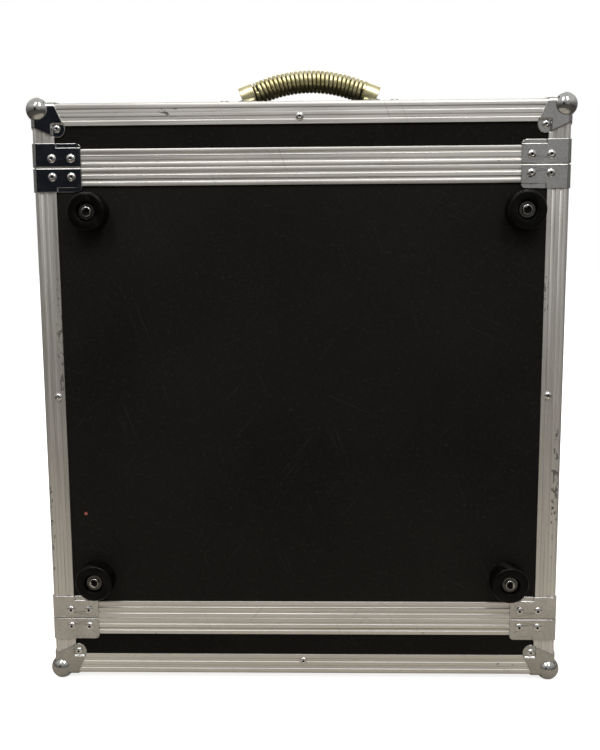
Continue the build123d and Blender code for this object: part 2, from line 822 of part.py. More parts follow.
def grip_path(start, end):
    # The centre line between two distances from the middle, one on each side
    bend_end = grip_bend * math.radians(grip_half_angle)
    left = grip_point(-bend_end)[0]
    right = grip_point(bend_end)[0]
    return Wire([Line(grip_point(start)[0], left).edge(),
                 ThreePointArc(left, grip_middle, right).edge(),
                 Line(right, grip_point(end)[0]).edge()])


def along_grip(run):
    point, direction = grip_point(run)
    return Plane(point, x_dir=(0, 1, 0), z_dir=direction)


def strap_bar(side, grown, outer_run, inner_run):
    # The flat steel at one end of the grip, below its centre line, between two runs from the end
    section = Pos(0, -strap_drop) * Rectangle(strap_width + 2 * grown, strap_thickness + 2 * grown)
    section = along_grip(side * grip_half_run) * section
    return extrude(section, side * outer_run) + extrude(section, -side * inner_run)


def grip_core():
    path = grip_path(-grip_half_run, grip_half_run)
    core = sweep(along_grip(-grip_half_run) * Circle(core_radius), path=path)
    for side in (-1, 1):
        core -= strap_bar(side, strap_fit, strap_tail, strap_tail + strap_fit)
    return core


def straps():
    return together([strap_bar(side, 0, strap_tail, strap_tail) for side in (-1, 1)])


def ferrules():
    rings = []
    for side in (-1, 1):
        plane = along_grip(side * grip_half_run)
        ring = plane * (Circle(grip_radius) - Circle(grip_radius - ferrule_wall))
        rings.append(extrude(ring, -side * ferrule_length))
    return together(rings)


spring_half_run = grip_half_run - ferrule_length - spring_end_gap - spring_wire / 2
spring_mean = grip_radius - spring_wire / 2


def spring_point(part):
    # A point of the wire's centre line and its direction, for a part from -1 to 1 of the run
    def at(share):
        angle = math.pi * spring_turns * share
        centre, along = grip_point(share * spring_half_run)
        across_way = Vector(0, -1, 0)
        up = along.cross(across_way)
        return centre + across_way * (spring_mean * math.cos(angle)) + up * (spring_mean * math.sin(angle))

    step = 1e-5
    return at(part), (at(part + step) - at(part - step)).normalized()


def biarc(start, start_way, end, end_way):
    # Two arcs with equal handles that join two points and keep both directions
    span = end - start
    ways = start_way + end_way
    spare = 2 * (1 - start_way.dot(end_way))
    lean = span.dot(ways)
    handle = (math.sqrt(lean**2 + spare * span.dot(span)) - lean) / spare
    first = start + start_way * handle
    second = end - end_way * handle
    middle = (first + second) * 0.5
    middle_way = (second - first).normalized()
    return [Edge.make_tangent_arc(start, start_way, middle), Edge.make_tangent_arc(middle, middle_way, end)]


def spring():
    # The wire's centre line runs through a point at each half turn
    nodes = [spring_point(half_turn / spring_turns) for half_turn in range(-spring_turns, spring_turns + 1)]
    edges = []
    for (start, start_way), (end, end_way) in zip(nodes, nodes[1:]):
        edges += biarc(start, start_way, end, end_way)
    path = Wire(edges)
    section = Plane(nodes[0][0], z_dir=nodes[0][1]) * Circle(spring_wire / 2)
    points = [edge @ share for edge in edges for share in (0.0, 0.25, 0.5, 0.75)]
    per_turn = 16
    least = min((points[i] - points[j]).length for i in range(len(points))
                for j in range(i + per_turn // 2, min(len(points), i + 2 * per_turn)))
    print("spring: turns", spring_turns, "least gap to itself", round(least - spring_wire, 2), "mm")
    coil = sweep(section, path=path)
    expected = math.pi * (spring_wire / 2) ** 2 * path.length
    print("spring: volume over section times length", round(coil.volume / expected, 4))
    return coil


def handle_brackets():
    # A base plate with a cradle for each ferrule and a clamp over the strap's tail
    pieces = []
    for side in (-1, 1):
        end = grip_point(side * grip_half_run)[0]
        inner = side * (end.X - side * cradle_run - handle_offset)
        half = grip_radius + cradle_gap + cradle_wall
        low = z_high - panel_face
        base = block(inner, -half, 0, inner + handle_base_length, half, handle_base)
        cheeks = block(inner, -half, 0, inner + cradle_run, half, cradle_height + panel_face)
        clamp_start = inner + cradle_run + cradle_gap
        clamp = block(clamp_start, -half, 0, inner + handle_base_length, half, clamp_height + panel_face)
        body = base + cheeks + clamp
        if side < 0:
            body = mirror(body, about=Plane.YZ)
        body = Pos(handle_offset, y_mid, low) * body
        plane = along_grip(side * (grip_half_run + cradle_gap))
        body -= extrude(plane * Circle(grip_radius + cradle_gap), -side * 2 * cradle_run)
        body -= strap_bar(side, cradle_gap / 2, strap_tail + cradle_gap, cradle_run)
        pieces.append(body)
    return pieces


def handle_bolt_points():
    points = []
    for side in (-1, 1):
        end = grip_point(side * grip_half_run)[0]
        x = end.X + side * (handle_base_length - cradle_run - handle_bolt_head - cradle_gap)
        for way in (-1, 1):
            points.append((x, y_mid + way * handle_bolt_spread))
    return points


def handle_bolts():
    bolts = []
    holes = []
    top = z_high + clamp_height
    for x, y in handle_bolt_points():
        bolt = rod(handle_bolt_radius, (x, y, z_high - rivet_depth), (x, y, top))
        head = rod(handle_bolt_head, (x, y, top), (x, y, top + handle_bolt_head_height))
        bolts.append(bolt + fillet(head.edges().group_by(Axis.Z)[-1], handle_bolt_head_height / 2))
        low = z_high - panel_back - 1
        holes.append(rod(handle_bolt_radius + hole_clearance, (x, y, low), (x, y, top + 1)))
    return bolts, holes


def lid_pieces(name, end, joint, side_z, extra_holes):
    # All the pieces of one lid, by node name
    brackets, bracket_rivets, bracket_holes = bracket_set(joint, -side_z)
    corner_rivets, corner_holes = corner_rivet_parts()
    spots = [(sx, sy, end, side_z) for sx, sy in corners]
    mid_rivets, mid_holes = edge_rivets(name)
    dish_rivets, dish_holes = latch_rivets(latch_lid_flange_run, 1)
    side_dishes = [(sx, side_z) for sx in (-1, 1)]
    latch_holes = [place_latch(together(dish_holes), *spot) for spot in side_dishes]
    holes = bracket_holes + [place(corner_holes, *spot) for spot in spots] + mid_holes + latch_holes
    tray = lid_dish() - together(dish_holes)
    rivets = bracket_rivets + [place(corner_rivets, *spot) for spot in spots] + mid_rivets
    rivets += [place_latch(together(dish_rivets), *spot) for spot in side_dishes]
    pressed = ball_corner() - corner_holes
    return {
        name + "_panel": lid_panel(end, side_z, holes + extra_holes),
        name + "_walls": lid_walls(end, joint, side_z, holes),
        name + "_edge_extrusions": lid_frame(end, side_z, bracket_holes + mid_holes),
        name + "_rim": rim(joint, -side_z, True, together(bracket_holes)),
        name + "_ball_corners": together([place_alike(pressed, *spot) for spot in spots]),
        name + "_rim_brackets": together(brackets),
        name + "_rivets": together(rivets),
        name + "_latch_dishes": together([place_latch(tray, *spot) for spot in side_dishes]),
        name + "_foam": lid_foam(end, side_z),
    }


def body_pieces():
    front_brackets, front_rivets, front_holes = bracket_set(z_front_joint, 1)
    rear_brackets, rear_rivets, rear_holes = bracket_set(z_rear_joint, -1)
    mid_rivets, mid_holes = edge_rivets("body")
    dish_rivets, dish_holes = latch_rivets(latch_flange_run, -1)
    spots = [(sx, sz) for name, sx, sz in latches]
    latch_holes = [place_latch(together(dish_holes), *spot) for spot in spots]
    bolts, bolt_holes = rail_bolts()
    rim_holes = front_holes + rear_holes
    screw_hole = rod(screw_radius + hole_clearance, (0, 0, -2 * panel), (0, 0, 1))
    tray = body_dish() - together(dish_holes)
    nodes = {
        "bottom_panel": long_panel(-1, rim_holes + mid_holes + at_feet(screw_hole)),
        "top_panel": long_panel(1, rim_holes + mid_holes),
        "left_panel": side_panel(-1, rim_holes + mid_holes + latch_holes + bolt_holes),
        "right_panel": side_panel(1, rim_holes + mid_holes + latch_holes + bolt_holes),
        "body_edge_extrusions": body_uprights(mid_holes),
        "body_front_rim": rim(z_front_joint, 1, False, together(front_holes)),
        "body_rear_rim": rim(z_rear_joint, -1, False, together(rear_holes)),
        "body_rim_brackets": together(front_brackets + rear_brackets),
        "body_rivets": together(front_rivets + rear_rivets + mid_rivets
                                + [place_latch(together(dish_rivets), *spot) for spot in spots]),
        "body_latch_dishes": together([place_latch(tray, *spot) for spot in spots]),
        "rubber_feet": together(at_feet(foot())),
        "foot_washers": together(at_feet(foot_washer())),
        "foot_screws": together(at_feet(foot_screw())),
        "rail_bolts": bolts,
    }
    for name, sx, z, side_z in rail_positions():
        nodes[name + "_rail_" + ("left" if sx < 0 else "right")] = rail(sx, z, side_z)
    return nodes


def handle_pieces():
    bolts, holes = handle_bolts()
    brackets = [bracket - together(holes) for bracket in handle_brackets()]
    return {
        "handle_brackets": together(brackets),
        "handle_core": grip_core(),
        "handle_straps": straps(),
        "handle_ferrules": ferrules(),
        "handle_spring": spring(),
        "handle_bolts": together(bolts),
    }, holes


def latch_pieces():
    nodes = {}
    for name, sx, sz in latches:
        nodes["latch_cam_" + name] = place_latch(cam(), sx, sz)
        nodes["latch_wing_a_" + name] = place_latch(wing(1), sx, sz)
        nodes["latch_wing_b_" + name] = place_latch(wing(-1), sx, sz)
        nodes["latch_hook_" + name] = place_latch(hook(), sx, sz)
    return nodes


def build():
    handle, handle_holes = handle_pieces()
    nodes = body_pieces()
    nodes.update(lid_pieces("front_lid", z_high, z_front_joint, 1, handle_holes))
    nodes.update(lid_pieces("rear_lid", z_low, z_rear_joint, -1, []))
    nodes.update(handle)
    nodes.update(latch_pieces())
    return nodes


os.makedirs("parts", exist_ok=True)
for node_name, piece in build().items():
    export_step(piece, os.path.join("parts", node_name + ".step"))
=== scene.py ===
import math
import random

import bmesh
import bpy
from mathutils import Matrix, Vector


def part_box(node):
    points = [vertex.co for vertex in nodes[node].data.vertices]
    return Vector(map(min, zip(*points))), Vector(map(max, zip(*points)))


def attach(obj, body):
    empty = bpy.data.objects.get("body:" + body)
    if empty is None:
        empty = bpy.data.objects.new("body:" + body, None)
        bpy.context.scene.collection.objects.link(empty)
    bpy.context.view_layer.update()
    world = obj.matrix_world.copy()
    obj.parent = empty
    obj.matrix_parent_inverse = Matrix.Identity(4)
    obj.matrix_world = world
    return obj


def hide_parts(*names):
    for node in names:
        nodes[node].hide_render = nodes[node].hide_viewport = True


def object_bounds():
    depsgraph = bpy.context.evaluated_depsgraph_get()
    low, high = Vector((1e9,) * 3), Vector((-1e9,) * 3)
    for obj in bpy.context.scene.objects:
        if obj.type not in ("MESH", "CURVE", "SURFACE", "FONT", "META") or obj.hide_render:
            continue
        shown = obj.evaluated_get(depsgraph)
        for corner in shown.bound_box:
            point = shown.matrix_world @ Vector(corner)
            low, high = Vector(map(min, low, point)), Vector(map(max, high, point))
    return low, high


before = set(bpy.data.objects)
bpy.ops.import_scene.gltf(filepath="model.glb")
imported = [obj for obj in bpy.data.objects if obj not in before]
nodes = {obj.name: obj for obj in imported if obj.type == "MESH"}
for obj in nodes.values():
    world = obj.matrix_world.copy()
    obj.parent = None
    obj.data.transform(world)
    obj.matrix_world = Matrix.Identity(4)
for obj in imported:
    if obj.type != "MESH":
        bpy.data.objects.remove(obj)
cad_low, cad_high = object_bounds()

# Camera: a hand-held picture of the face with the feet, from a little above the middle of the
# case and slightly to its right, looking a few degrees down.
camera_place = Vector((0.0224, -1.0091, 0.4614))
camera_tilt, camera_turn, camera_roll = 8.085, 1.46, -0.404
picture_height, focal_pixels, sensor = 750, 930.0, 36.0
lens = bpy.data.cameras.new("camera")
lens.sensor_width = sensor
lens.lens = focal_pixels * sensor / picture_height
lens.clip_start, lens.clip_end = 0.01, 100
camera = bpy.data.objects.new("camera", lens)
bpy.context.collection.objects.link(camera)
aim = Matrix.Rotation(math.radians(camera_turn), 4, "Z")
aim = aim @ Matrix.Rotation(math.radians(90 - camera_tilt), 4, "X")
aim = aim @ Matrix.Rotation(math.radians(camera_roll), 4, "Z")
camera.matrix_world = Matrix.Translation(camera_place) @ aim
bpy.context.scene.camera = camera
bpy.context.scene.view_settings.view_transform = "Standard"


# Extruded aluminium sections: drawn bars with two grooves on each leg, sawn to length and mitred,
# satin with long drawing lines, painted shade in the grooves and black rub marks from years of transport.
def fill(tree, made, inputs):
    # Links or values for a node's inputs, by name, or by number where several are named alike
    for name, value in inputs.items():
        if isinstance(value, bpy.types.NodeSocket):
            tree.links.new(value, made.inputs[name])
        else:
            made.inputs[name].default_value = value


def add(tree, kind, inputs=None, **settings):
    made = tree.nodes.new("ShaderNode" + kind)
    for name, value in settings.items():
        setattr(made, name, value)
    fill(tree, made, inputs or {})
    return made


def mask(tree, value, low, high, start=0.0, end=1.0):
    # The value's way from low to high, clamped and spread over start to end
    made = add(tree, "MapRange", {0: value, 1: low, 2: high, 3: start, 4: end})
    return made.outputs[0]


def mixed(tree, factor, first, second):
    return add(tree, "Mix", {0: factor, 6: first, 7: second}, data_type="RGBA").outputs[2]


def maths(tree, operation, first, second=0.0):
    return add(tree, "Math", {0: first, 1: second}, operation=operation).outputs[0]


def between(tree, factor, first, second):
    return add(tree, "Mix", {0: factor, 2: first, 3: second}).outputs[0]


def grey(value):
    return (value, value, value, 1)


def shader_group(name, inputs):
    # An effect that puts out one mask, with the sockets of its two ends
    group = bpy.data.node_groups.new(name, "ShaderNodeTree")
    for label, kind, value in inputs:
        socket = group.interface.new_socket(label, in_out="INPUT", socket_type="NodeSocket" + kind)
        if value is not None:
            socket.default_value = value
    group.interface.new_socket("Mask", in_out="OUTPUT", socket_type="NodeSocketFloat")
    return group, group.nodes.new("NodeGroupInput").outputs, group.nodes.new("NodeGroupOutput").inputs


def placed(tree, group, inputs):
    return add(tree, "Group", inputs, node_tree=group).outputs["Mask"]


def new_material(name):
    material = bpy.data.materials.new(name)
    material.use_nodes = True
    tree = material.node_tree
    place = add(tree, "TexCoord").outputs["Object"]
    return material, tree, tree.nodes["Principled BSDF"], place


def put(tree, shader, **values):
    # Links or values for the shader's own sockets, with _ for the spaces in their names
    fill(tree, shader, {name.replace("_", " "): value for name, value in values.items()})


def bump(tree, shader, height, strength, distance):
    made = add(tree, "Bump", {"Height": height, "Strength": strength, "Distance": distance})
    tree.links.new(made.outputs[0], shader.inputs["Normal"])


# Scratches run in a few ways over whichever flat a place lies on, in patches
scratch_group, given, result = shader_group(
    "scratches", [("Vector", "Vector", None), ("Scale", "Float", 500.0), ("Amount", "Float", 0.5)])
tree = scratch_group
scratch_turns, scratch_length, flat_share = (0.35, 1.15, 2.45), 40, 0.7
facing_way = add(tree, "SeparateXYZ", {"Vector": add(tree, "TexCoord").outputs["Normal"]}).outputs
parts = add(tree, "SeparateXYZ", {"Vector": given["Vector"]}).outputs
on_side = maths(tree, "GREATER_THAN", maths(tree, "ABSOLUTE", facing_way["X"]), flat_share)
on_end = maths(tree, "GREATER_THAN", maths(tree, "ABSOLUTE", facing_way["Z"]), flat_share)
flat_place = add(tree, "CombineXYZ", {"X": between(tree, on_side, parts["X"], parts["Y"]),
                                      "Y": between(tree, on_end, parts["Z"], parts["Y"])}).outputs[0]
strongest = None
for count, turn in enumerate(scratch_turns):
    moved = (0.37 * count, 0.21 * count, 0.1 * count)
    lined = add(tree, "Mapping", {"Vector": flat_place, "Location": moved, "Rotation": (0, 0, turn),
                                  "Scale": (1, scratch_length, 1)}, vector_type="TEXTURE")
    line = add(tree, "TexNoise", {"Vector": lined.outputs[0], "Scale": given["Scale"], "Detail": 0.0})
    patch = add(tree, "TexNoise", {"Vector": given["Vector"], "Scale": 17.0 + 5 * count, "Detail": 1.0})
    streak = maths(tree, "MULTIPLY", mask(tree, line.outputs[0], 0.74, 0.80),
                   mask(tree, patch.outputs[0], 0.48, 0.62))
    strongest = streak if strongest is None else maths(tree, "MAXIMUM", strongest, streak)
tree.links.new(maths(tree, "MULTIPLY", strongest, given["Amount"]), result["Mask"])

# Rub marks are fine dark specks, thicker where the density is higher
rub_group, given, result = shader_group(
    "rub marks", [("Vector", "Vector", None), ("Density", "Float", 0.0), ("Amount", "Float", 0.5)])
tree = rub_group
wide = add(tree, "TexNoise", {"Vector": given["Vector"], "Scale": 14.0, "Detail": 2.0}).outputs[0]
fine = add(tree, "TexNoise", {"Vector": given["Vector"], "Scale": 380.0, "Detail": 2.0,
                              "Roughness": 0.6}).outputs[0]
density = maths(tree, "ADD", given["Density"], mask(tree, wide, 0.56, 0.74, 0.0, 0.5))
level = maths(tree, "SUBTRACT", 0.76, maths(tree, "MULTIPLY", density, 0.21))
speck = mask(tree, fine, level, maths(tree, "ADD", level, 0.035))
tree.links.new(maths(tree, "MULTIPLY", speck, given["Amount"]), result["Mask"])

# Places where the sections are scuffed most, each with its reach along the three axes
place_group, given, result = shader_group("scuffed places", [("Vector", "Vector", None)])
tree = place_group
strongest = None
for spot, reach in (((-0.2450, -0.0727, 0.361), (0.0045, 0.012, 0.10)),
                    ((0.2444, -0.0727, 0.413), (0.004, 0.012, 0.035)),
                    ((-0.129, -0.0727, 0.5895), (0.018, 0.012, 0.006)),
                    ((-0.262, -0.0727, 0.17), (0.003, 0.012, 0.06)),
                    ((0.260, -0.0727, 0.20), (0.005, 0.012, 0.10))):
    away = add(tree, "VectorMath", {0: given["Vector"], 1: spot}, operation="SUBTRACT").outputs[0]
    away = add(tree, "VectorMath", {0: away, 1: reach}, operation="DIVIDE").outputs[0]
    near = mask(tree, add(tree, "VectorMath", {0: away}, operation="LENGTH").outputs["Value"], 1.1, 0.5)
    strongest = near if strongest is None else maths(tree, "MAXIMUM", strongest, near)
tree.links.new(strongest, result["Mask"])


def aluminium(name, stretch):
    # stretch flattens the pattern along the bar, so that its drawing lines run lengthwise
    material, tree, shader, place = new_material(name)
    along = add(tree, "Mapping", {"Vector": place, "Scale": stretch}).outputs[0]
    smeared = [max(share, 0.4) for share in stretch]
    smear = add(tree, "Mapping", {"Vector": place, "Scale": smeared}).outputs[0]
    lines = add(tree, "TexNoise", {"Vector": along, "Scale": 700.0, "Detail": 3.0}).outputs[0]
    bands = add(tree, "TexNoise", {"Vector": along, "Scale": 120.0, "Detail": 1.0}).outputs[0]
    cloud = add(tree, "TexNoise", {"Vector": place, "Scale": 7.0, "Detail": 3.0}).outputs[0]
    # This attribute marks the grooves' faces, whose colour is darkened below as painted shade
    groove_shade = add(tree, "Attribute", attribute_name="groove_shade").outputs["Fac"]
    scuffed = placed(tree, place_group, {"Vector": place})
    rubs = placed(tree, rub_group, {"Vector": smear, "Density": scuffed, "Amount": 0.85})
    scratch = placed(tree, scratch_group, {"Vector": place, "Scale": 650.0, "Amount": 0.7})
    colour = mixed(tree, mask(tree, bands, 0.3, 0.7), (0.80, 0.785, 0.755, 1), (0.90, 0.885, 0.855, 1))
    colour = mixed(tree, mask(tree, cloud, 0.4, 0.75, 0.0, 0.35), colour, (0.66, 0.63, 0.58, 1))
    colour = mixed(tree, maths(tree, "MULTIPLY", scratch, 0.5), colour, (0.40, 0.38, 0.35, 1))
    # Painted shade: the grooves are darkened towards dark brown, varied by the cloud, and made rougher and
    # less metallic
    painted_groove_shade = maths(tree, "MULTIPLY", groove_shade, mask(tree, cloud, 0.3, 0.7, 0.55, 0.9))
    colour = mixed(tree, painted_groove_shade, colour, (0.20, 0.185, 0.16, 1))
    colour = mixed(tree, rubs, colour, (0.07, 0.065, 0.06, 1))
    rough = mask(tree, lines, 0.3, 0.7, 0.38, 0.52)
    dull = maths(tree, "MAXIMUM", painted_groove_shade, rubs)
    rough = maths(tree, "ADD", rough, maths(tree, "MULTIPLY", dull, 0.3))
    metal = maths(tree, "SUBTRACT", 1.0, maths(tree, "MULTIPLY", dull, 0.6))
    put(tree, shader, Base_Color=colour, Roughness=rough, Metallic=metal)
    height = maths(tree, "SUBTRACT", maths(tree, "MULTIPLY", lines, 0.5), scratch)
    bump(tree, shader, height, strength=0.25, distance=0.0002)
    return material


along_each = [aluminium("aluminium_along_" + way, stretch) for way, stretch in
              (("x", (0.02, 1, 1)), ("y", (1, 0.02, 1)), ("z", (1, 1, 0.02)))]


def select_only(piece):
    bpy.ops.object.select_all(action="DESELECT")
    piece.select_set(True)
    bpy.context.view_layer.objects.active = piece


def apply_modifiers(piece):
    select_only(piece)
    for modifier in list(piece.modifiers):
        bpy.ops.object.modifier_apply(modifier=modifier.name)


merge_distance, flat_angle = 2e-6, math.radians(0.6)


def copy_of(name, node, join_flat=True):
    # A merged copy of a CAD node, by choice with its flat faces joined again
    shape = bmesh.new()
    shape.from_mesh(nodes[node].data)
    mesh = bpy.data.meshes.new(name)
    shape.to_mesh(mesh)
    shape.free()
    mesh.materials.clear()
    piece = bpy.data.objects.new(name, mesh)
    bpy.context.collection.objects.link(piece)
    select_only(piece)
    bpy.ops.object.mode_set(mode="EDIT")
    bpy.ops.mesh.select_all(action="SELECT")
    bpy.ops.mesh.remove_doubles(threshold=merge_distance)
    if join_flat:
        bpy.ops.mesh.dissolve_limited(angle_limit=flat_angle)
    bpy.ops.object.mode_set(mode="OBJECT")
    return piece


def round_edges(piece, width, segments=2, sharp=35.0, weighted=False):
    # Small round edges; weighted normals keep the flats of a triangulated copy even
    select_only(piece)
    bpy.ops.object.shade_smooth_by_angle(angle=math.radians(sharp))
    bevel = piece.modifiers.new("edges", "BEVEL")
    bevel.width = width
    bevel.segments = segments
    bevel.limit_method = "ANGLE"
    bevel.angle_limit = math.radians(sharp)
    bevel.use_clamp_overlap = False
    bevel.harden_normals = not weighted
    if weighted:
        flats = piece.modifiers.new("flats", "WEIGHTED_NORMAL")
        flats.weight = 80
        flats.keep_sharp = True
    apply_modifiers(piece)


def settle(piece, body, materials, replaced):
    # The piece gets its finish, rides on its body and stands for its CAD nodes
    for material in materials:
        piece.data.materials.append(material)
    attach(piece, body)
    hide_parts(*replaced)


rim_low, rim_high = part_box("body_front_rim")
half_width = rim_high.x
middle_y = (rim_low.y + rim_high.y) / 2
half_thickness = (rim_high.y - rim_low.y) / 2
section_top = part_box("front_lid_edge_extrusions")[1].z
section_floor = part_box("rear_lid_edge_extrusions")[0].z
# Painted shade by depth, as shares of the groove's depth: its sides from the first, its floor from the second
groove_depth, side_from, floor_from, floor_to = 0.0006, 0.25, 0.85, 1.1
# How strongly the painted shade darkens the groove floors and sides
floor_shade, side_shade = 0.12, 0.4
edge_round, rim_round = 0.00025, 0.0003


def edge_run(gaps):
    # An edge section runs the way in which it lies deepest under the outer faces
    return gaps.index(max(gaps))


def rim_run(gaps):
    # A rim bar runs along X or, at the sides, along Y
    return int(gaps[0] <= gaps[1])


def shade_grooves(piece, run_of):
    # The grooves get painted shade, most of it on their sloping sides; each face gets the finish
    # of the way that its bar runs
    groove_shade = piece.data.attributes.new("groove_shade", "FLOAT", "FACE")
    values = []
    for face in piece.data.polygons:
        centre = face.center
        gaps = (half_width - abs(centre.x), half_thickness - abs(centre.y - middle_y),
                min(section_top - centre.z, centre.z - section_floor))
        share = min(gaps) / groove_depth
        at_floor, at_side = floor_from < share < floor_to, side_from < share <= floor_from
        values.append(floor_shade if at_floor else side_shade if at_side else 0.0)
        face.material_index = run_of(gaps)
    groove_shade.data.foreach_set("value", values)


owners = (("case_body", "body"), ("front_lid", "front_lid"), ("rear_lid", "rear_lid"))
for body, prefix in owners:
    node = prefix + "_edge_extrusions"
    bars = copy_of(prefix + "_bars", node)
    shade_grooves(bars, edge_run)
    round_edges(bars, width=edge_round)
    settle(bars, body, along_each, [node])
for body, node in (("case_body", "body_front_rim"), ("case_body", "body_rear_rim"),
                   ("front_lid", "front_lid_rim"), ("rear_lid", "rear_lid_rim")):
    bars = copy_of(node + "_bars", node)
    shade_grooves(bars, rim_run)
    round_edges(bars, width=rim_round)
    settle(bars, body, along_each, [node])


# Panels: 7 mm plywood faced with black laminate that has a fine pebbled grain, slid into the
# extrusions and riveted; it shows light scratches, dust and one small reddish mark. The lids get
# a copy with weaker reflections, which is painted shade on their recessed panels.
laminate, tree, shader, place = new_material("black_laminate")
pebble = add(tree, "TexVoronoi", {"Vector": place, "Scale": 900.0, "Randomness": 0.9}).outputs["Distance"]
grain = add(tree, "TexNoise", {"Vector": place, "Scale": 520.0, "Detail": 3.0}).outputs[0]
cloud = add(tree, "TexNoise", {"Vector": place, "Scale": 6.0, "Detail": 4.0}).outputs[0]
dust = add(tree, "TexNoise", {"Vector": place, "Scale": 300.0, "Detail": 3.0, "Roughness": 0.7}).outputs[0]
scratch = placed(tree, scratch_group, {"Vector": place, "Scale": 420.0, "Amount": 0.8})
colour = mixed(tree, mask(tree, cloud, 0.35, 0.7), (0.0046, 0.0041, 0.0035, 1), (0.0078, 0.0070, 0.0060, 1))
colour = mixed(tree, mask(tree, dust, 0.56, 0.78, 0.0, 0.5), colour, (0.035, 0.032, 0.027, 1))
colour = mixed(tree, maths(tree, "MULTIPLY", scratch, 0.09), colour, (0.09, 0.085, 0.08, 1))
mark_place = (-0.2268, -0.071, 0.1821)
away = add(tree, "VectorMath", {0: place, 1: mark_place}, operation="DISTANCE").outputs["Value"]
colour = mixed(tree, mask(tree, away, 0.0022, 0.0012), colour, (0.40, 0.12, 0.09, 1))
rough = mask(tree, cloud, 0.3, 0.7, 0.5, 0.62)
put(tree, shader, Base_Color=colour, Roughness=rough, Specular_IOR_Level=0.16)
height = maths(tree, "ADD", pebble, maths(tree, "MULTIPLY", grain, 0.6))
bump(tree, shader, height, strength=0.35, distance=0.0003)
# The lids' copy has weaker reflections, so that their recessed panels and walls look darker: painted shade
shaded_lid_laminate = laminate.copy()
shaded_lid_laminate.name = "shaded_lid_laminate"
put(shaded_lid_laminate.node_tree, shaded_lid_laminate.node_tree.nodes["Principled BSDF"], Specular_IOR_Level=0.08)


def faced(node, finish):
    # A CAD piece that stays as it is and only gets its finish
    nodes[node].data.materials.clear()
    nodes[node].data.materials.append(finish)


for node in ("bottom_panel", "top_panel", "left_panel", "right_panel"):
    faced(node, laminate)
for node in ("front_lid_panel", "rear_lid_panel", "front_lid_walls", "rear_lid_walls"):
    faced(node, shaded_lid_laminate)


# Rim brackets: pressed steel angles at the corners of both joints, stepped down beside the
# extrusion and bright plated, with handling scratches and a dull bloom.
def plating(name, colour_low, colour_high, rough_low, rough_high, wave):
    material, tree, shader, place = new_material(name)
    cloud = add(tree, "TexNoise", {"Vector": place, "Scale": 45.0, "Detail": 4.0}).outputs[0]
    fine = add(tree, "TexNoise", {"Vector": place, "Scale": 1500.0, "Detail": 2.0}).outputs[0]
    dent = add(tree, "TexNoise", {"Vector": place, "Scale": 90.0, "Detail": 1.0}).outputs[0]
    scratch = placed(tree, scratch_group, {"Vector": place, "Scale": 1100.0, "Amount": 0.8})
    rubs = placed(tree, rub_group, {"Vector": place, "Amount": 0.35})
    grain = add(tree, "TexNoise", {"Vector": place, "Scale": 620.0, "Detail": 3.0,
                                   "Roughness": 0.7}).outputs[0]
    colour = mixed(tree, mask(tree, cloud, 0.35, 0.7), colour_low, colour_high)
    colour = mixed(tree, mask(tree, grain, 0.52, 0.72, 0.0, 0.5), colour, (0.22, 0.215, 0.20, 1))
    colour = mixed(tree, maths(tree, "MULTIPLY", scratch, 0.35), colour, (0.72, 0.71, 0.70, 1))
    colour = mixed(tree, rubs, colour, (0.12, 0.11, 0.10, 1))
    rough = mask(tree, maths(tree, "ADD", cloud, maths(tree, "MULTIPLY", fine, 0.3)), 0.5, 0.9,
                 rough_low, rough_high)
    rough = maths(tree, "ADD", rough, maths(tree, "MULTIPLY", scratch, 0.15))
    put(tree, shader, Base_Color=colour, Roughness=rough, Metallic=1.0)
    height = maths(tree, "SUBTRACT", maths(tree, "ADD", dent, maths(tree, "MULTIPLY", fine, 0.05)),
                   maths(tree, "MULTIPLY", scratch, 0.1))
    bump(tree, shader, height, strength=0.3, distance=wave)
    return material


bracket_plating = plating("bracket_plating", (0.54, 0.54, 0.53, 1), (0.64, 0.64, 0.63, 1),
                          rough_low=0.06, rough_high=0.16, wave=0.0004)
for body, prefix in owners:
    node = prefix + "_rim_brackets"
    brackets = copy_of(prefix + "_brackets", node, join_flat=False)
    round_edges(brackets, width=0.0004, segments=3, weighted=True)
    settle(brackets, body, [bracket_plating], [node])


# Ball corners: a plated steel ball pressed in one piece with three plates, each with a lowered
# round nose for its rivet; the pressing is soft at every bend, and duller on the rear lid.
corner_plating = plating("corner_plating", (0.56, 0.56, 0.555, 1), (0.66, 0.66, 0.65, 1),
                         rough_low=0.05, rough_high=0.14, wave=0.0005)
worn_plating = plating("worn_plating", (0.42, 0.42, 0.41, 1), (0.52, 0.52, 0.50, 1),
                       rough_low=0.10, rough_high=0.22, wave=0.0006)
for body, finish in (("front_lid", corner_plating), ("rear_lid", worn_plating)):
    node = body + "_ball_corners"
    pressings = copy_of(body + "_corners", node)
    remesh = pressings.modifiers.new("even faces", "REMESH")
    remesh.mode = "VOXEL"
    remesh.voxel_size = 0.00055
    soft = pressings.modifiers.new("soft bends", "SMOOTH")
    soft.factor = 0.5
    soft.iterations = 4
    apply_modifiers(pressings)
    select_only(pressings)
    bpy.ops.object.shade_smooth()
    settle(pressings, body, [finish], [node])


# Blind rivets: a domed steel head with a small bore where the mandrel broke off, one at each hole
# of the brackets, ball corners, latch dishes and at mid-length of the sections.
least_radius, turned_smooth = 1e-6, math.radians(40)


